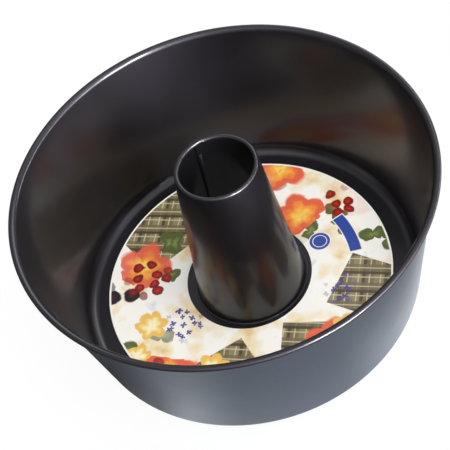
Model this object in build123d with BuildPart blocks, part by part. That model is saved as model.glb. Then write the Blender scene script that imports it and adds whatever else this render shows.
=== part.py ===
"""Angel food cake pan: a drawn steel pan, the tube crimped in its middle and the card laid round the tube.

Millimetres, +Z up. The origin is the centre of the face that the pan rests on.
Each metal piece is one sheet, drawn as the path that the middle of the sheet follows
and thickened by half a sheet to both sides.
"""

from build123d import *

import os
from math import asin, atan2, cos, degrees, hypot, radians, sin, sqrt, tan

os.makedirs("parts", exist_ok=True)

# Pan: one sheet with a flat floor, a round corner, a leaning wall and a rolled rim
sheet = 0.8                     # thickness of the steel with its coating
rim_diameter = 254.0            # over the rolled rim, ten inches
pan_height = 101.6              # from the table to the top of the rim, four inches
base_diameter = 216.0           # over the corner where it turns into the wall
corner_inside_radius = 6.9      # between the floor and the wall
shoulder_inside_radius = 2.6    # under the sheet, where the wall turns out to the rim
rim_roll_inside_radius = 0.6    # hollow of the rolled rim
rim_roll_turn = 215             # degrees that the rim rolls on from its crest

# Collar: the edge of the hole in the floor, drawn up inside the tube's foot
collar_straight = 2.4           # upright part of the collar above its bend
collar_bend_inside_radius = 0.8
collar_clearance = 0.05         # between the collar and the tube

# Tube: a rolled cone with a lap along it, its top edge rolled inward and its foot turned out on the floor
tube_rise = 12.4                # how far the tube stands above the rim
tube_top_diameter = 49.7        # over the roll at the top
tube_foot_diameter = 69.8       # outside, where the cone meets the floor
tube_roll_inside_radius = 0.7   # hollow of the roll at the top
tube_roll_turn = 230            # degrees that the edge rolls on from the wall
foot_flange = 1.6               # width of the flange on the floor
foot_bend_inside_radius = 0.9   # between the cone and its flange
lap_middle_angle = 105          # place of the lap round the tube, in degrees from +X
lap_width = 4.4                 # width of the second layer at the top of the tube
lap_clearance = 0.3             # from the lap to the roll above it and the collar below it

# Card: a printed ring, loose on the floor and a little off the middle
card_thickness = 0.5
card_edge_gap = 8.15            # from the card to the start of the pan's corner
card_hole_play = 4.0            # from the foot flange to the card, were the card in the middle
card_shift_shares = (-0.27, 0.6)  # of that play, along X and Y

# The bends again, as radii of the middle of the sheet
half_sheet = sheet / 2
corner_bend = corner_inside_radius + half_sheet
shoulder_bend = shoulder_inside_radius + half_sheet
rim_roll_bend = rim_roll_inside_radius + half_sheet
collar_bend = collar_bend_inside_radius + half_sheet
tube_roll_bend = tube_roll_inside_radius + half_sheet
foot_bend = foot_bend_inside_radius + half_sheet


def tangent_slope(across, up, radii):
    """Degrees from upright of the straight line that joins two bends without a kink."""
    return degrees(atan2(across, up) - asin(radii / hypot(across, up)))


# Tube: the cone runs from the floor to the roll and touches the roll's outer side
tube_height = pan_height + tube_rise
tube_roll_radius = tube_roll_inside_radius + sheet
tube_roll_centre = (tube_top_diameter / 2 - tube_roll_radius, tube_height - tube_roll_radius)
foot_radius = tube_foot_diameter / 2
cone_slope = tangent_slope(
    foot_radius - tube_roll_centre[0], tube_roll_centre[1] - sheet, tube_roll_radius
)
sheet_across = sheet / cos(radians(cone_slope))


def cone_radius(height, layers=0):
    """Radius of the cone at a height above the table, that many sheets inside its outer face."""
    return foot_radius - (height - sheet) * tan(radians(cone_slope)) - layers * sheet_across


# Pan body: the wall runs from the corner to the shoulder and touches both
crest_radius = rim_diameter / 2 - rim_roll_inside_radius - sheet
corner_start_radius = base_diameter / 2 - corner_inside_radius - sheet
wall_across = crest_radius - corner_start_radius
wall_up = pan_height - shoulder_inside_radius - corner_inside_radius - 2 * sheet
wall_bends = corner_bend + shoulder_bend
wall_slope = tangent_slope(wall_across, wall_up, wall_bends)
wall_length = sqrt(wall_across**2 + wall_up**2 - wall_bends**2)
collar_height = sheet + collar_bend_inside_radius + collar_straight
collar_mid_radius = cone_radius(collar_height, layers=1) - collar_clearance - half_sheet

with BuildPart() as pan_body:
    with BuildSketch(Plane.XZ):
        with BuildLine():
            collar = Line(
                (collar_mid_radius, collar_height - half_sheet),
                (collar_mid_radius, collar_bend + half_sheet),
            )
            collar_turn = JernArc(collar @ 1, collar % 1, collar_bend, 90)
            floor = Line(collar_turn @ 1, (corner_start_radius, half_sheet))
            corner = JernArc(floor @ 1, floor % 1, corner_bend, 90 - wall_slope)
            wall = PolarLine(corner @ 1, wall_length, 90 - wall_slope)
            shoulder = JernArc(wall @ 1, wall % 1, shoulder_bend, wall_slope - 90)
            JernArc(shoulder @ 1, shoulder % 1, rim_roll_bend, -rim_roll_turn)
            offset(amount=half_sheet)
        make_face()
    revolve(axis=Axis.Z)

pan_body.part.label = "pan_body"
export_step(pan_body.part, "parts/pan_body.step")

# Centre tube: from the edge of the foot flange, up the cone and round the roll
flange_radius = foot_radius + foot_flange
flange_mid_height = sheet + half_sheet
lap_foot = collar_height + lap_clearance
lap_head = tube_height - 2 * tube_roll_radius - lap_clearance
lap_angle = degrees(lap_width / (tube_top_diameter / 2))
lap_start = radians(lap_middle_angle - lap_angle / 2)
lap_plane = Plane(
    origin=(0, 0, 0),
    x_dir=(cos(lap_start), sin(lap_start), 0),
    z_dir=(sin(lap_start), -cos(lap_start), 0),
)

with BuildPart() as centre_tube:
    with BuildSketch(Plane.XZ):
        with BuildLine():
            cone = FilletPolyline(
                (flange_radius - half_sheet, flange_mid_height),
                (cone_radius(flange_mid_height, layers=0.5), flange_mid_height),
                (
                    tube_roll_centre[0] + tube_roll_bend * cos(radians(cone_slope)),
                    tube_roll_centre[1] + tube_roll_bend * sin(radians(cone_slope)),
                ),
                radius=foot_bend,
            )
            JernArc(cone @ 1, cone % 1, tube_roll_bend, tube_roll_turn)
            offset(amount=half_sheet)
        make_face()
    revolve(axis=Axis.Z)
    # The lap: a second layer of the same sheet on the inside of the cone
    with BuildSketch(lap_plane):
        with BuildLine():
            Polyline(
                (cone_radius(lap_foot, layers=0.5), lap_foot),
                (cone_radius(lap_head, layers=0.5), lap_head),
                (cone_radius(lap_head, layers=2), lap_head),
                (cone_radius(lap_foot, layers=2), lap_foot),
                close=True,
            )
        make_face()
    revolve(axis=Axis.Z, revolution_arc=lap_angle)

centre_tube.part.label = "centre_tube"
export_step(centre_tube.part, "parts/centre_tube.step")

# Label card: a flat ring that lies on the floor between the flange and the corner
card_radius = corner_start_radius - card_edge_gap
card_hole_radius = flange_radius + card_hole_play
card_shift = tuple(share * card_hole_play for share in card_shift_shares)

with BuildPart() as label_card:
    with BuildSketch(Plane.XY.offset(sheet)):
        with Locations(card_shift):
            Circle(card_radius)
            Circle(card_hole_radius, mode=Mode.SUBTRACT)
    extrude(amount=card_thickness)

label_card.part.label = "label_card"
export_step(label_card.part, "parts/label_card.step")

print(f"wall leans out {wall_slope:.2f} degrees, the tube leans in {cone_slope:.2f} degrees")
print(f"tube stands {tube_height:.1f} high, clear bore {2 * (tube_top_diameter / 2 - 2 * tube_roll_radius):.1f}")
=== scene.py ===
import math

import bmesh
import bpy
from mathutils import Matrix, Vector


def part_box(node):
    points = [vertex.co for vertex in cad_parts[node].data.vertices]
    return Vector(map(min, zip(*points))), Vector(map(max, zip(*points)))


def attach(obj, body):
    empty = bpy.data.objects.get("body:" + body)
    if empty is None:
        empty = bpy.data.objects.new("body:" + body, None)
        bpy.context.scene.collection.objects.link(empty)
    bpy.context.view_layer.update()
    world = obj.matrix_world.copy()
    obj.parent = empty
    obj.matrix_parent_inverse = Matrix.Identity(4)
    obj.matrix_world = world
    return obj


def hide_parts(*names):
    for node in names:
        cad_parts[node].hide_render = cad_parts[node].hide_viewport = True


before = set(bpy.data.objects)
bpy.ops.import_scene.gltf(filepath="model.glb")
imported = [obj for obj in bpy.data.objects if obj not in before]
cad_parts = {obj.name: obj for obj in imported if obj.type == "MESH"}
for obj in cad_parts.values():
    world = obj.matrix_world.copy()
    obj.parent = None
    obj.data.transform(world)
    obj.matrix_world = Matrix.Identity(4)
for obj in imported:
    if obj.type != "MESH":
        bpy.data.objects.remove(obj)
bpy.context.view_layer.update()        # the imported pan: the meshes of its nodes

# Sizes in metres. The outer ones come from the imported nodes
mm = 0.001
_, pan_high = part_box("pan_body")
_, tube_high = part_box("centre_tube")
card_low, card_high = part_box("label_card")
rim_radius = pan_high[0]
pan_height = pan_high[2]
tube_height = tube_high[2]
flange_radius = tube_high[0]
card_radius = (card_high[0] - card_low[0]) / 2
card_thickness = card_high[2] - card_low[2]
card_centre = Vector(((card_low[0] + card_high[0]) / 2, (card_low[1] + card_high[1]) / 2, 0))

# The steel sheet and its bends, each measured on the hollow side of the bend
sheet = 0.8 * mm
sheet_edge_round = 0.2 * mm
base_radius = 108.0 * mm
corner_inside_radius = 6.9 * mm
shoulder_inside_radius = 2.6 * mm
rim_roll_inside_radius = 0.6 * mm
rim_roll_turn = 215            # degrees that the rim rolls on from its crest
collar_straight = 2.4 * mm
collar_bend_inside_radius = 0.8 * mm
collar_clearance = 0.05 * mm

# The centre tube
tube_top_radius = 24.85 * mm
tube_foot_radius = 34.9 * mm
tube_roll_inside_radius = 0.7 * mm
tube_roll_turn = 230           # degrees that the top edge rolls on from the cone
foot_bend_inside_radius = 0.9 * mm
lap_middle_angle = 105         # place of the lap, in degrees from +X
lap_width = 4.4 * mm
lap_clearance = 0.3 * mm
lap_lift = 0.5 * mm            # how far the lap's loose edge stands off the cone
seam_angle = 97                # where the sheet's ends meet in the roll at the top
seam_turn = 28                 # degrees of the roll that stand higher beside the seam
seam_step = 0.45 * mm
seam_clearance = 0.1 * mm      # from the raised part to the top of the CAD model

# The card
card_hole_radius = 40.5 * mm
card_edge_round = 0.12 * mm
card_curl = 1.1 * mm           # how far the card's left edge lifts off the floor
card_curl_angle = 190          # where it lifts most, in degrees from +X
card_curl_start_share = 0.55   # of the way from the card's middle to its edge

# Steps round a full turn, along the straight stretches of a sheet's path and round its bends
turn_steps = 288
long_steps = 14
short_steps = 3
collar_steps = 8
corner_steps = 20
shoulder_steps = 14
foot_bend_steps = 10
roll_steps = 24
lap_steps = 6
card_steps = 16
cut_edge_steps = 2
sharp_angle = 60               # edges that turn by more degrees than this are cut edges, and are rounded
weld_distance = mm / 1000

half_sheet = sheet / 2


def tangent_slope(across, up, radii):
    """Degrees from upright of the straight line that joins two bends without a kink."""
    return math.degrees(math.atan2(across, up) - math.asin(radii / math.hypot(across, up)))


class SheetPath:
    """The path of the middle of a sheet in the plane of X and Z, drawn with straight runs and arcs."""

    def __init__(self, radius, height, heading):
        self.mesh = bmesh.new()
        self.end = self.mesh.verts.new((radius, 0, height))
        self.heading = heading

    def ahead(self, turned=0):
        """The direction in which the path goes on, or one turned from it by some degrees."""
        angle = math.radians(self.heading + turned)
        return Vector((math.cos(angle), 0, math.sin(angle)))

    def run(self, length, steps=short_steps):
        """Goes straight on."""
        for _ in range(steps):
            self.end = bmesh.ops.extrude_vert_indiv(self.mesh, verts=[self.end])["verts"][0]
            self.end.co += self.ahead() * (length / steps)

    def turn(self, angle, radius, steps):
        """Goes round an arc, to the left where the angle is positive."""
        side = math.copysign(90, angle)
        arc = bmesh.ops.spin(
            self.mesh, geom=[self.end], cent=self.end.co + self.ahead(side) * radius,
            axis=(0, -1, 0), angle=math.radians(angle), steps=steps,
        )
        self.end = [part for part in arc["geom_last"] if isinstance(part, bmesh.types.BMVert)][0]
        self.heading += angle

    def revolved(self):
        """The mesh of the path spun round the pan's axis."""
        bmesh.ops.spin(
            self.mesh, geom=self.mesh.verts[:] + self.mesh.edges[:], cent=(0, 0, 0),
            axis=(0, 0, 1), angle=math.tau, steps=turn_steps, use_merge=True,
        )
        bmesh.ops.remove_doubles(self.mesh, verts=self.mesh.verts[:], dist=weld_distance)
        bmesh.ops.recalc_face_normals(self.mesh, faces=self.mesh.faces[:])
        return self.mesh


def make_piece(name, mesh, body, node, materials):
    """Turns a bmesh into a smooth object that rides on a body and stands for a CAD node."""
    for face in mesh.faces:
        face.smooth = True
    data = bpy.data.meshes.new(name)
    mesh.to_mesh(data)
    mesh.free()
    for material in materials:
        data.materials.append(material)
    piece = bpy.data.objects.new(name, data)
    bpy.context.scene.collection.objects.link(piece)
    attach(piece, body)
    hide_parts(node)
    return piece


def thicken(piece, thickness, offset, edge_round):
    """Gives a sheet its thickness, to the side that the offset gives or to both where it is zero, and rounds
    its cut edges."""
    solidify = piece.modifiers.new("thickness", "SOLIDIFY")
    solidify.thickness = thickness
    solidify.offset = offset
    solidify.use_even_offset = True
    bevel = piece.modifiers.new("cut edge", "BEVEL")
    bevel.width = edge_round
    bevel.segments = cut_edge_steps
    bevel.limit_method = "ANGLE"
    bevel.angle_limit = math.radians(sharp_angle)
    bevel.harden_normals = True
    return solidify


def add_node(tree, kind, links=None, **settings):
    """Adds one shader node, with its settings, its plain socket values and its links."""
    new = tree.nodes.new(kind)
    for name, value in settings.items():
        setattr(new, name, value)
    for socket, value in (links or {}).items():
        if isinstance(value, bpy.types.NodeSocket):
            tree.links.new(value, new.inputs[socket])
        else:
            new.inputs[socket].default_value = value
    return new


def colour(code):
    """A hex colour as it is seen, turned by the sRGB standard to the linear values that the shader takes."""
    shares = [int(code[place:place + 2], 16) / 255 for place in (1, 3, 5)]
    linear = [
        share / 12.92 if share <= 0.04045 else ((share + 0.055) / 1.055) ** 2.4
        for share in shares
    ]
    return (*linear, 1)


def set_ramp(ramp, stops):
    """Gives a colour ramp its stops, as pairs of place and hex colour."""
    elements = ramp.color_ramp.elements
    while len(elements) < len(stops):
        elements.new(1)
    for element, (place, code) in zip(elements, stops):
        element.position = place
        element.color = colour(code)


def new_material(name):
    """A material with an empty tree but for its output node."""
    material = bpy.data.materials.new(name)
    material.use_nodes = True
    tree = material.node_tree
    tree.nodes.clear()
    output = tree.nodes.new("ShaderNodeOutputMaterial")
    return material, tree, output


def paint_over(tree, picture, paint, *masks):
    """Lays a paint, as a hex colour or a socket, over the picture where all of the masks are 1."""
    mask, *others = masks
    for other in others:
        mask = add_node(tree, "ShaderNodeMath", {0: mask, 1: other}, operation="MULTIPLY").outputs[0]
    if isinstance(paint, str):
        paint = colour(paint)
    return add_node(
        tree, "ShaderNodeMixRGB", {"Fac": mask, "Color1": picture, "Color2": paint}
    ).outputs["Color"]


patch_edge_share = 1.2         # a patch fades to nothing at this share of its reach


def patches(tree, place, spots):
    """A mask that holds within any of some round patches, each given by its reach and its middle in mm."""
    mask = None
    for reach, *middle in spots:
        away = add_node(
            tree, "ShaderNodeVectorMath", {0: place, 1: Vector(middle).to_3d() * mm}, operation="DISTANCE"
        ).outputs["Value"]
        patch = add_node(
            tree, "ShaderNodeMapRange",
            {"Value": away, "From Min": patch_edge_share * reach * mm, "From Max": reach * mm},
        ).outputs["Result"]
        if mask:
            patch = add_node(tree, "ShaderNodeMath", {0: mask, 1: patch}, operation="MAXIMUM").outputs[0]
        mask = patch
    return mask


# The sprayed coatings
flake_size = 0.9 * mm          # the real flakes are finer, and at this size they just show
flake_start_share = 0.6        # the noise from which flakes start to show
flake_full_share = 0.75        # the noise from which they show fully
gloss_cloud_size = 35 * mm     # the clouds in which the gloss wavers
gloss_cloud_low = 0.3          # the noise that gives the sharpest and the softest gloss
gloss_cloud_high = 0.7
gloss_swing = 0.04             # how far the gloss wavers to both sides
wave_size = 12 * mm            # the soft waves that the spray leaves
wave_depth = 0.03 * mm

# Worn specks in the coating, and a painted highlight down the tube's lap, each as its reach and its middle
# in mm
nick_and_glint_colour = "#6d6a72"
inner_nicks_and_lap_glint = (
    (0.7, 54.4, 106.7, 77), (0.5, 57, 105.5, 74.5), (0.6, -50.5, 108.3, 77), (0.4, -52, 107.8, 79),
    # These, down the tube's lap, are not wear but a painted highlight: a pale streak on the lap
    (1.0, -6.5, 23.8, 100), (0.7, -6.5, 23.9, 98.5), (0.6, -6.5, 24.1, 97), (0.5, -6.5, 24.2, 95.5),
    (0.5, -6.5, 24.3, 94), (0.45, -6.6, 24.4, 92.5), (0.4, -6.6, 24.5, 91),
)
outer_nicks = ((0.6, -52.2, -107.3, 70), (0.5, 20, -118.6, 62))


def sprayed_coating(name, ground, flake, base_gloss, coat_weight, coat_gloss, nicks_and_glints):
    """A coating sprayed on steel and baked: a dark coat with fine metal flakes, whose sheen is broad and
    wavers a little with the spray, under a clear coat that mirrors more sharply."""
    material, tree, output = new_material(name)
    place = add_node(tree, "ShaderNodeTexCoord").outputs["Object"]
    flakes = add_node(tree, "ShaderNodeTexNoise", {"Vector": place, "Scale": 1 / flake_size, "Detail": 2})
    tint = add_node(tree, "ShaderNodeValToRGB", {"Fac": flakes.outputs["Fac"]})
    set_ramp(tint, ((flake_start_share, ground), (flake_full_share, flake)))
    cloud = add_node(
        tree, "ShaderNodeTexNoise", {"Vector": place, "Scale": 1 / gloss_cloud_size, "Detail": 3}
    )
    gloss = add_node(
        tree, "ShaderNodeMapRange",
        {"Value": cloud.outputs["Fac"], "From Min": gloss_cloud_low, "From Max": gloss_cloud_high,
         "To Min": base_gloss - gloss_swing, "To Max": base_gloss + gloss_swing},
    ).outputs["Result"]
    waves = add_node(tree, "ShaderNodeTexNoise", {"Vector": place, "Scale": 1 / wave_size, "Detail": 1})
    bump = add_node(
        tree, "ShaderNodeBump", {"Height": waves.outputs["Fac"], "Strength": 1, "Distance": wave_depth}
    ).outputs["Normal"]
    # Pale specks: worn spots, and on the inside a painted highlight down the tube's lap
    worn_and_glint = paint_over(tree, tint.outputs["Color"], nick_and_glint_colour, patches(tree, place, nicks_and_glints))
    coating = add_node(
        tree, "ShaderNodeBsdfPrincipled",
        {"Base Color": worn_and_glint, "Metallic": 1, "Roughness": gloss, "Normal": bump, "Coat Weight": coat_weight,
         "Coat Roughness": coat_gloss, "Coat IOR": 1.5, "Coat Normal": bump},
    )
    tree.links.new(coating.outputs["BSDF"], output.inputs["Surface"])
    return material


def inner_coating():
    """PTFE non-stick coating: deep black with a violet cast, and it mirrors the card as blurred patches."""
    return sprayed_coating(
        "ptfe_nonstick_sprayed", ground="#2d2b31", flake="#37353d", base_gloss=0.48, coat_weight=0.6,
        coat_gloss=0.17, nicks_and_glints=inner_nicks_and_lap_glint,
    )


def outer_coating():
    """Bakeware enamel on the outside: blue-grey, and it mirrors the floor as soft light and dark patches."""
    return sprayed_coating(
        "bakeware_enamel_sprayed", ground="#566273", flake="#657182", base_gloss=0.4, coat_weight=0.35,
        coat_gloss=0.26, nicks_and_glints=outer_nicks,
    )


# The print on the card. Places and sizes are in mm from the card's middle, and turns in degrees
ripple_size = 9                # ripples that make the painted edges uneven
ripple_depth = 5
ground_cloud_size = 26         # clouds of cream, white and cool shadow under the motifs
ground_paints = (
    (0.3, "#e3bd7c"), (0.4, "#f4e3bd"), (0.5, "#fbf8ef"), (0.64, "#fbf9f3"), (0.74, "#c9cfdc"),
)

# Plaid cloth: its ground, and its stripes as period, phase, share of the wave where they start, and paint
plaid_turn = 24
plaid_ground = "#8f8562"
plaid_stripes = ((14, 0.0, 0.5, "#71664a"), (14, 1.4, 0.93, "#3b2f22"), (7, 2.6, 0.95, "#d3c8a2"))
stripe_edge = 0.03             # the share of the wave over which a stripe fades in
stripe_cover = 0.8             # how much of the cloth a stripe hides
wave_factor = 20               # the wave texture repeats every full turn divided by this, at a scale of 1

# Folded cloths: middle, half width, half depth and turn. The first, at the back left behind the tube, is
# print and also a painted shade, as it darkens the card where shade falls
cloths_and_painted_shade = (
    (-38, 62, 34, 24, 24), (76, -44, 30, 20, -42), (-34, -66, 22, 17, 14), (22, -62, 17, 14, -20),
)

# Motifs from the lowest to the topmost: spacing and reach, petals, depth of the cuts between them as a
# share, scatter, the colours outward, and the patches where they lie, each as its reach and its middle
motifs = (
    (19, 9.5, 2, 0.75, 1.0, ("#a3ad62", "#7c8848", "#54602f"),
     ((16, 56, 20), (18, -14, -72), (16, -72, -34), (16, -50, 40), (12, 84, -4))),
    (13, 6.4, 1, 0.0, 0.5, ("#8a6478", "#4a2a38", "#2c1820", "#20131a"),
     ((13, -30, -84), (11, 64, -66), (12, -84, 16), (10, 34, 76))),
    (34, 20.0, 5, 0.3, 0.6, ("#b8402a", "#f9d968", "#f9ac44", "#f28440", "#e66444"),
     ((32, 48, 56), (18, -68, -48), (18, 46, -74), (18, -72, 50))),
    (24, 12.0, 6, 0.3, 0.8, ("#dd7a34", "#fae9a0", "#fdf4d4", "#f8dc88", "#f0c060"),
     ((16, 14, 70), (14, -66, -8), (14, 52, -58), (14, -36, -62), (12, -80, -30))),
    (8.5, 3.9, 1, 0.0, 0.6, ("#f57a5a", "#dc2f20", "#b31c12", "#7a120c"),
     ((13, -60, 24), (11, -4, -76), (11, 76, 36), (12, -72, -52))),
    (5.5, 2.6, 4, 0.45, 0.8, ("#f3e6a0", "#9486cc", "#6656ac", "#4a3c8c"),
     ((11, -46, -18), (9, 54, -30), (9, -20, -84))),
)
motif_edge_share = 0.88        # of the way to a motif's edge, from where its paint fades out
streak_size = 5                # streaks that vary a motif's colours
streak_share = 0.7             # how far the streaks move the colours outward
first_paint_share = 0.25       # where the innermost colour lies

# Bands along an arc: radius, half width, middle and half turn, and paint. They are the plain ribbon's edge,
# the ribbon and the white border
bands = ((70, 4.4, 6, 13, "#f4f2ea"), (70, 3.7, 6, 12.4, "#2b479c"), (91.8, 0.9, 0, 181, "#f7f4ea"))

# The plain seal: its middle, and its discs from the lowest up, each as its radius and paint
seal_middle = (50, 8, 0)
seal_discs = ((7.5, "#f4f2ea"), (6.8, "#2b479c"), (5.0, "#f4f2ea"), (4.5, "#2b479c"))


def scatter_rosettes(tree, place, spacing, reach, petals, petal_depth, scatter):
    """Rosettes round scattered points: the share of the way from a rosette's middle to the edge of its
    petals, and the place of that middle."""
    cells = add_node(
        tree, "ShaderNodeTexVoronoi", {"Vector": place, "Scale": 1 / spacing, "Randomness": scatter},
        voronoi_dimensions="2D",
    )
    chance = add_node(tree, "ShaderNodeSeparateColor", {"Color": cells.outputs["Color"]})
    arm = add_node(
        tree, "ShaderNodeVectorMath", {0: place, 1: cells.outputs["Position"]}, operation="SUBTRACT"
    ).outputs[0]
    ways = add_node(tree, "ShaderNodeSeparateXYZ", {"Vector": arm})
    angle = add_node(
        tree, "ShaderNodeMath", {0: ways.outputs["Y"], 1: ways.outputs["X"]}, operation="ARCTAN2"
    ).outputs[0]
    turn = add_node(
        tree, "ShaderNodeMath", {0: chance.outputs["Blue"], 1: math.pi}, operation="MULTIPLY"
    ).outputs[0]
    wave = add_node(
        tree, "ShaderNodeMath", {0: angle, 1: petals / 2, 2: turn}, operation="MULTIPLY_ADD"
    ).outputs[0]
    lobe = add_node(tree, "ShaderNodeMath", {0: wave}, operation="COSINE").outputs[0]
    fold = add_node(tree, "ShaderNodeMath", {0: lobe}, operation="ABSOLUTE").outputs[0]
    edge = add_node(
        tree, "ShaderNodeMapRange", {"Value": fold, "To Min": reach * (1 - petal_depth), "To Max": reach}
    ).outputs["Result"]
    length = add_node(tree, "ShaderNodeVectorMath", {0: arm}, operation="LENGTH").outputs["Value"]
    share = add_node(tree, "ShaderNodeMath", {0: length, 1: edge}, operation="DIVIDE").outputs[0]
    return share, cells.outputs["Position"]


def weave_plaid(tree, place):
    """Olive cloth with brown and pale stripes both ways."""
    turned = add_node(
        tree, "ShaderNodeMapping", {"Vector": place, "Rotation": (0, 0, math.radians(plaid_turn))}
    ).outputs["Vector"]
    cloth = colour(plaid_ground)
    for direction in ("X", "Y"):
        for period, phase, least, paint in plaid_stripes:
            stripes = add_node(
                tree, "ShaderNodeTexWave",
                {"Vector": turned, "Scale": math.tau / wave_factor / (period * mm), "Phase Offset": phase},
                bands_direction=direction,
            )
            mask = add_node(
                tree, "ShaderNodeMapRange",
                {"Value": stripes.outputs["Fac"], "From Min": least, "From Max": least + stripe_edge,
                 "To Max": stripe_cover},
            ).outputs["Result"]
            cloth = paint_over(tree, cloth, paint, mask)
    return cloth


def lay_cloths(tree, picture, place):
    """Lays the folded plaid cloths on the picture."""
    plaid = weave_plaid(tree, place)
    for x, y, half_width, half_depth, turn in cloths_and_painted_shade:
        laid = add_node(
            tree, "ShaderNodeMapping",
            {"Vector": place, "Location": (x * mm, y * mm, 0), "Rotation": (0, 0, math.radians(turn)),
             "Scale": (half_width * mm, half_depth * mm, 1)},
            vector_type="TEXTURE",
        ).outputs["Vector"]
        way = add_node(tree, "ShaderNodeVectorMath", {0: laid}, operation="ABSOLUTE").outputs[0]
        ways = add_node(tree, "ShaderNodeSeparateXYZ", {"Vector": way})
        reach = add_node(
            tree, "ShaderNodeMath", {0: ways.outputs["X"], 1: ways.outputs["Y"]}, operation="MAXIMUM"
        ).outputs[0]
        covered = add_node(tree, "ShaderNodeMath", {0: reach, 1: 1}, operation="LESS_THAN").outputs[0]
        picture = paint_over(tree, picture, plaid, covered)
    return picture


def scatter_motifs(tree, picture, place):
    """Scatters leaves, dark and red berries, blossoms and small violet flowers on the picture."""
    streaks = add_node(
        tree, "ShaderNodeTexNoise", {"Vector": place, "Scale": 1 / (streak_size * mm), "Detail": 3}
    )
    for spacing, reach, petals, depth, scatter, paints, spots in motifs:
        share, middle = scatter_rosettes(tree, place, spacing * mm, reach * mm, petals, depth, scatter)
        inside_edge = add_node(
            tree, "ShaderNodeMapRange", {"Value": share, "From Min": 1, "From Max": motif_edge_share}
        ).outputs["Result"]
        tone = add_node(
            tree, "ShaderNodeMath", {0: streaks.outputs["Fac"], 1: streak_share, 2: share},
            operation="MULTIPLY_ADD",
        ).outputs[0]
        paint = add_node(tree, "ShaderNodeValToRGB", {"Fac": tone})
        set_ramp(paint, [(first_paint_share + step / len(paints), code) for step, code in enumerate(paints)])
        picture = paint_over(
            tree, picture, paint.outputs["Color"], inside_edge, patches(tree, middle, spots)
        )
    return picture


def draw_bands(tree, picture, place):
    """Draws the plain ribbon along an arc and the white border."""
    ways = add_node(tree, "ShaderNodeSeparateXYZ", {"Vector": place})
    angle = add_node(
        tree, "ShaderNodeMath", {0: ways.outputs["Y"], 1: ways.outputs["X"]}, operation="ARCTAN2"
    ).outputs[0]
    radius = add_node(tree, "ShaderNodeVectorMath", {0: place}, operation="LENGTH").outputs["Value"]
    for reach, half_width, middle, half_turn, paint in bands:
        across = add_node(
            tree, "ShaderNodeMath", {0: radius, 1: reach * mm, 2: half_width * mm}, operation="COMPARE"
        ).outputs[0]
        along = add_node(
            tree, "ShaderNodeMath", {0: angle, 1: math.radians(middle), 2: math.radians(half_turn)},
            operation="COMPARE",
        ).outputs[0]
        picture = paint_over(tree, picture, paint, across, along)
    return picture


def stamp_seal(tree, picture, place):
    """Stamps the plain blue seal on the picture."""
    away = add_node(
        tree, "ShaderNodeVectorMath", {0: place, 1: Vector(seal_middle) * mm}, operation="DISTANCE"
    ).outputs["Value"]
    for reach, paint in seal_discs:
        disc = add_node(tree, "ShaderNodeMath", {0: away, 1: reach * mm}, operation="LESS_THAN").outputs[0]
        picture = paint_over(tree, picture, paint, disc)
    return picture


def printed_board():
    """Clay-coated board, printed in offset and varnished: a generic print of blossoms, berries, leaves and
    plaid cloth on a cream ground with cool shadows, and a little glossy."""
    material, tree, output = new_material("board_offset_printed")
    spot = add_node(tree, "ShaderNodeTexCoord").outputs["Object"]
    place = add_node(
        tree, "ShaderNodeVectorMath", {0: spot, 1: card_centre}, operation="SUBTRACT"
    ).outputs[0]
    ripple = add_node(
        tree, "ShaderNodeTexNoise", {"Vector": place, "Scale": 1 / (ripple_size * mm), "Detail": 2}
    )
    wavy = add_node(
        tree, "ShaderNodeVectorMath",
        {0: ripple.outputs["Color"], 1: (ripple_depth * mm, ripple_depth * mm, 0), 2: place},
        operation="MULTIPLY_ADD",
    ).outputs[0]
    cloud = add_node(
        tree, "ShaderNodeTexNoise", {"Vector": wavy, "Scale": 1 / (ground_cloud_size * mm), "Detail": 4}
    )
    ground = add_node(tree, "ShaderNodeValToRGB", {"Fac": cloud.outputs["Fac"]})
    set_ramp(ground, ground_paints)
    picture = lay_cloths(tree, ground.outputs["Color"], place)
    picture = scatter_motifs(tree, picture, wavy)
    picture = draw_bands(tree, picture, place)
    picture = stamp_seal(tree, picture, place)
    varnish = add_node(
        tree, "ShaderNodeBsdfPrincipled", {"Base Color": picture, "Roughness": 0.33, "IOR": 1.5}
    )
    tree.links.new(varnish.outputs["BSDF"], output.inputs["Surface"])
    return material


# The bare board
fibre_size = 1.2 * mm          # the real fibres are finer, and at this size they just show
board_greys = ((0.3, "#d5cfc2"), (0.7, "#ebe6da"))


def bare_board():
    """The grey-white core and back of the board: matt, with short fibres."""
    material, tree, output = new_material("board_core_uncoated")
    place = add_node(tree, "ShaderNodeTexCoord").outputs["Object"]
    fibres = add_node(tree, "ShaderNodeTexNoise", {"Vector": place, "Scale": 1 / fibre_size, "Detail": 4})
    tint = add_node(tree, "ShaderNodeValToRGB", {"Fac": fibres.outputs["Fac"]})
    set_ramp(tint, board_greys)
    pulp = add_node(
        tree, "ShaderNodeBsdfPrincipled",
        {"Base Color": tint.outputs["Color"], "Roughness": 0.9, "IOR": 1.45},
    )
    tree.links.new(pulp.outputs["BSDF"], output.inputs["Surface"])
    return material


inside = inner_coating()
outside = outer_coating()
card_print = printed_board()
card_core = bare_board()

# The bends again, as radii of the middle of the sheet, and the height of the collar over its bend
corner_bend = corner_inside_radius + half_sheet
shoulder_bend = shoulder_inside_radius + half_sheet
rim_roll_bend = rim_roll_inside_radius + half_sheet
collar_bend = collar_bend_inside_radius + half_sheet
tube_roll_bend = tube_roll_inside_radius + half_sheet
foot_bend = foot_bend_inside_radius + half_sheet
collar_height = sheet + collar_bend_inside_radius + collar_straight

# The tube's cone runs from the floor to the roll and touches the roll's outer side
tube_roll_radius = tube_roll_inside_radius + sheet
roll_centre_radius = tube_top_radius - tube_roll_radius
roll_centre_height = tube_height - tube_roll_radius
cone_slope = tangent_slope(
    tube_foot_radius - roll_centre_radius, roll_centre_height - sheet, tube_roll_radius
)
cone_lean = math.radians(cone_slope)


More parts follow.
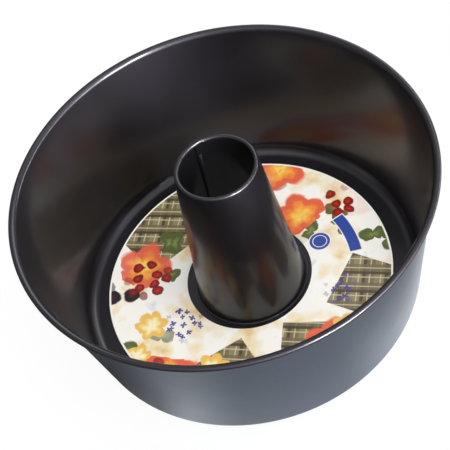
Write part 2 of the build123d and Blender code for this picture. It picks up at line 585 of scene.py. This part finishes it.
def cone_radius(height, layers=0.0):
    """Radius of the cone at a height above the table, that many sheets inside its outer face."""
    return tube_foot_radius - (height - sheet) * math.tan(cone_lean) - layers * sheet / math.cos(cone_lean)


def make_pan_shell():
    """The drawn sheet: collar, floor, corner, leaning wall, shoulder and rolled rim."""
    crest_radius = rim_radius - rim_roll_inside_radius - sheet
    corner_start_radius = base_radius - corner_inside_radius - sheet
    wall_across = crest_radius - corner_start_radius
    wall_up = pan_height - shoulder_inside_radius - corner_inside_radius - 2 * sheet
    wall_bends = corner_bend + shoulder_bend
    wall_slope = tangent_slope(wall_across, wall_up, wall_bends)
    wall_length = math.sqrt(wall_across**2 + wall_up**2 - wall_bends**2)
    collar_radius = cone_radius(collar_height, layers=1) - collar_clearance - half_sheet

    path = SheetPath(collar_radius, collar_height, heading=-90)
    path.run(collar_straight)
    path.turn(90, collar_bend, collar_steps)
    path.run(corner_start_radius - path.end.co.x, long_steps)
    path.turn(90 - wall_slope, corner_bend, corner_steps)
    path.run(wall_length, long_steps)
    path.turn(wall_slope - 90, shoulder_bend, shoulder_steps)
    path.turn(-rim_roll_turn, rim_roll_bend, roll_steps)
    shell = make_piece("pan_shell", path.revolved(), "pan", "pan_body", [inside, outside])
    solidify = thicken(shell, sheet, 0, sheet_edge_round)
    solidify.material_offset = 1


def make_tube_cone():
    """The rolled cone: flange on the floor, foot bend, cone, rolled top edge and the lap inside it."""
    path = SheetPath(flange_radius, sheet + half_sheet, heading=180)
    bend_tangent = foot_bend * math.tan(math.radians((90 - cone_slope) / 2))
    path.run(flange_radius - cone_radius(sheet + half_sheet, layers=0.5) - bend_tangent)
    path.turn(cone_slope - 90, foot_bend, foot_bend_steps)
    roll_start = Vector((
        roll_centre_radius + tube_roll_bend * math.cos(cone_lean), 0,
        roll_centre_height + tube_roll_bend * math.sin(cone_lean),
    ))
    path.run((roll_start - path.end.co).length, long_steps)
    path.turn(tube_roll_turn, tube_roll_bend, roll_steps)
    mesh = path.revolved()

    # The roll stands highest beside the seam and slopes down to the rest of it
    for vert in mesh.verts:
        past_seam = math.degrees(math.atan2(vert.co.y, vert.co.x)) - seam_angle
        if vert.co.z > tube_height - 2 * tube_roll_radius:
            share = past_seam / seam_turn if 0 < past_seam < seam_turn else 1
            vert.co.z -= seam_clearance + share * seam_step

    # The lap: the second layer of the sheet, spun over its own width only, with its last edge loose
    lap_foot = collar_height + lap_clearance
    lap_head = tube_height - 2 * tube_roll_radius - lap_clearance
    lap_angle = lap_width / tube_top_radius
    start = Matrix.Rotation(math.radians(lap_middle_angle) - lap_angle / 2, 3, "Z")
    edge = [mesh.verts.new(start @ Vector((cone_radius(z, layers=1.5), 0, z))) for z in (lap_foot, lap_head)]
    side = mesh.edges.new(edge)
    lap = bmesh.ops.spin(
        mesh, geom=edge + [side], cent=(0, 0, 0), axis=(0, 0, 1), angle=lap_angle, steps=lap_steps,
    )
    for vert in lap["geom_last"]:
        if isinstance(vert, bmesh.types.BMVert):
            vert.co.xy *= 1 - lap_lift / tube_top_radius
    bmesh.ops.recalc_face_normals(mesh, faces=mesh.faces[:])
    tube = make_piece("tube_cone", mesh, "pan", "centre_tube", [inside])
    thicken(tube, sheet, 0, sheet_edge_round)


def make_card():
    """The card ring, whose left edge lifts a little off the floor."""
    path = SheetPath(card_hole_radius, card_high[2], heading=0)
    path.run(card_radius - card_hole_radius, card_steps)
    mesh = path.revolved()
    if mesh.faces[:][0].normal.z < 0:
        bmesh.ops.reverse_faces(mesh, faces=mesh.faces[:])
    lift_line = Matrix.Rotation(math.radians(card_curl_angle), 3, "Z") @ Vector((1, 0, 0))
    for vert in mesh.verts:
        share = vert.co.xy.dot(lift_line.xy) / card_radius
        vert.co.z += card_curl * max(0, (share - card_curl_start_share) / (1 - card_curl_start_share)) ** 2
    bmesh.ops.translate(mesh, verts=mesh.verts[:], vec=card_centre)
    card = make_piece("card_ring", mesh, "card", "label_card", [card_print, card_core])
    solidify = thicken(card, card_thickness, -1, card_edge_round)
    solidify.material_offset = 1
    solidify.material_offset_rim = 1


make_pan_shell()
make_tube_cone()
make_card()

# The floor: paper that throws back a little of the lamps' light, which keeps the pan's shadow, and glows
# for the rest
floor_size = 4.0
floor_drop = 0.1 * mm
paper_white = "#e7e7e7"        # the paper as surfaces that scatter light get it
shadow_grey = "#4b4b4b"        # the paper under its glow, as the camera and shiny surfaces see it
floor_glow = 0.945             # how strongly it glows to the camera, as a share of white

# Painted pools of light and shade on the floor, as shiny surfaces mirror them: middle, reach and reach of
# the faded edge in mm, and the light within and beyond. The first is a painted shade under the tube, seen by
# the camera too
painted_floor_pools = (
    (0, 0, 30, 60, 0.2, 1),
    (0, 0, 112, 145, 0.64, 0.31),
    (-150, -10, 50, 100, 0.12, 1),
    (-94, -62, 20, 40, 0.4, 1),
    (-85, -100, 20, 50, 1.6, 1),
    (110, -60, 30, 85, 2, 1),
    (185, -145, 85, 125, 0.23, 1),
)


def paint_floor_pool(tree, place, x, y, reach, edge, light_within, light_beyond):
    """One painted pool of light or shade on the floor."""
    away = add_node(
        tree, "ShaderNodeVectorMath", {0: place, 1: (x * mm, y * mm, 0)}, operation="DISTANCE"
    ).outputs["Value"]
    return add_node(
        tree, "ShaderNodeMapRange",
        {"Value": away, "From Min": reach * mm, "From Max": edge * mm, "To Min": light_within,
         "To Max": light_beyond},
    ).outputs["Result"]


def white_sweep():
    """White paper sweep. The camera sees it near white, with the pan's shadow on it and a painted shade
    under the tube, and shiny surfaces mirror it with painted pools of light and shade round the pan."""
    material, tree, output = new_material("paper_sweep_white")
    rays = add_node(tree, "ShaderNodeLightPath")
    place = add_node(tree, "ShaderNodeTexCoord").outputs["Object"]
    painted_shade_under_tube, *others = [paint_floor_pool(tree, place, *pool) for pool in painted_floor_pools]
    seen = add_node(
        tree, "ShaderNodeMath", {0: painted_shade_under_tube, 1: floor_glow}, operation="MULTIPLY"
    ).outputs[0]
    mirrored = painted_shade_under_tube
    for pool in others:
        mirrored = add_node(
            tree, "ShaderNodeMath", {0: mirrored, 1: pool}, operation="MULTIPLY"
        ).outputs[0]
    surface = add_node(tree, "ShaderNodeBsdfDiffuse", {"Color": colour(paper_white)})
    for ray, glow in (
        ("Is Transmission Ray", mirrored), ("Is Glossy Ray", mirrored), ("Is Camera Ray", seen),
    ):
        paper = add_node(tree, "ShaderNodeBsdfDiffuse", {"Color": colour(shadow_grey)})
        light = add_node(tree, "ShaderNodeEmission", {"Strength": glow})
        lit = add_node(tree, "ShaderNodeAddShader", {0: paper.outputs[0], 1: light.outputs[0]})
        surface = add_node(
            tree, "ShaderNodeMixShader", {0: rays.outputs[ray], 1: surface.outputs[0], 2: lit.outputs[0]}
        )
    tree.links.new(surface.outputs[0], output.inputs["Surface"])
    return material


def make_floor():
    """The floor that the pan stands on."""
    mesh = bmesh.new()
    bmesh.ops.create_grid(mesh, x_segments=1, y_segments=1, size=floor_size / 2)
    bmesh.ops.translate(mesh, verts=mesh.verts[:], vec=(0, 0, -floor_drop))
    data = bpy.data.meshes.new("floor")
    mesh.to_mesh(data)
    mesh.free()
    data.materials.append(white_sweep())
    floor = bpy.data.objects.new("floor", data)
    bpy.context.scene.collection.objects.link(floor)


# The lamps and the room. Lights are shares of white, and sizes and distances are in metres
softbox_distance = 1.3
room_white = "#ffffff"
room_light_low = 0.08          # what shiny surfaces mirror of the room by the floor
room_light_high = 0.52         # and what they mirror above
room_high_share = 0.7          # how far up the room reaches its brightest, 1 being straight above
room_light_scattered = 0.24    # what the surfaces that scatter light get of the room
room_light_seen = 0.965        # what the camera sees of it


def add_softbox(name, azimuth, elevation, width, height, watts, for_sheen=True):
    """A softbox that shines at the pan from a direction, given in degrees from +X and above the floor. It
    lights either the sheen of every surface, the card's varnish too, or only what scatters light."""
    lamp = bpy.data.lights.new(name, "AREA")
    lamp.shape = "RECTANGLE"
    lamp.size = width
    lamp.size_y = height
    lamp.energy = watts
    box = bpy.data.objects.new(name, lamp)
    bpy.context.scene.collection.objects.link(box)
    box.visible_glossy = for_sheen
    box.visible_diffuse = not for_sheen
    raised = Matrix.Rotation(math.radians(-elevation), 3, "Y")
    turned = Matrix.Rotation(math.radians(azimuth), 3, "Z")
    direction = turned @ raised @ Vector((1, 0, 0))
    box.location = direction * softbox_distance
    box.rotation_euler = direction.to_track_quat("Z", "Y").to_euler()


def light_room():
    """A grey room, brighter above, that is even for the surfaces that scatter light and near white to the
    camera."""
    world = bpy.data.worlds.new("studio_room")
    bpy.context.scene.world = world
    world.use_nodes = True
    tree = world.node_tree
    tree.nodes.clear()
    output = tree.nodes.new("ShaderNodeOutputWorld")
    direction = add_node(tree, "ShaderNodeTexCoord").outputs["Generated"]
    height = add_node(tree, "ShaderNodeSeparateXYZ", {"Vector": direction}).outputs["Z"]
    strength = add_node(
        tree, "ShaderNodeMapRange",
        {"Value": height, "From Min": 0, "From Max": room_high_share, "To Min": room_light_low,
         "To Max": room_light_high},
    ).outputs["Result"]
    rays = add_node(tree, "ShaderNodeLightPath")
    for ray, level in (("Is Diffuse Ray", room_light_scattered), ("Is Camera Ray", room_light_seen)):
        strength = add_node(
            tree, "ShaderNodeMix", {"Factor": rays.outputs[ray], "A": strength, "B": level}
        ).outputs["Result"]
    light = add_node(tree, "ShaderNodeBackground", {"Color": colour(room_white), "Strength": strength})
    tree.links.new(light.outputs[0], output.inputs["Surface"])


# The camera, as it fits the outlines of the pan in the photograph
camera_stand = Vector((0, -473.2, 642.9)) * mm
camera_aim = Vector((21.6, 13.3, 50)) * mm
camera_roll = -16.15           # degrees
camera_lens = 99.6             # mm, as the sensor's width is
camera_sensor = 36
camera_shift = (-0.089, -0.0444)


def place_camera():
    """The photograph's view: from above and in front, rolled to the left."""
    camera = bpy.data.cameras.new("camera")
    camera.sensor_width = camera_sensor
    camera.lens = camera_lens
    camera.shift_x, camera.shift_y = camera_shift
    holder = bpy.data.objects.new("camera", camera)
    bpy.context.scene.collection.objects.link(holder)
    view = (camera_aim - camera_stand).to_track_quat("-Z", "Y").to_matrix().to_4x4()
    roll = Matrix.Rotation(math.radians(camera_roll), 4, "Z")
    holder.matrix_world = Matrix.Translation(camera_stand) @ view @ roll
    bpy.context.scene.camera = holder


make_floor()
light_room()
add_softbox("key_strip", azimuth=-57, elevation=19, width=0.3, height=0.85, watts=38)
add_softbox("key_top", azimuth=-69, elevation=40, width=0.12, height=0.5, watts=24)
add_softbox("key_wings", azimuth=-57, elevation=19, width=1.1, height=0.35, watts=20)
add_softbox("side_strip", azimuth=-8, elevation=13, width=1.6, height=0.16, watts=13)
add_softbox("overhead_softbox", azimuth=-57, elevation=72, width=1.8, height=1.8, watts=8.5)
add_softbox("back_window", azimuth=62, elevation=38, width=0.85, height=0.5, watts=4.5)
add_softbox("card_fill", azimuth=-57, elevation=76, width=0.9, height=0.9, watts=16, for_sheen=False)
place_camera()
bpy.context.scene.view_settings.view_transform = "Standard"
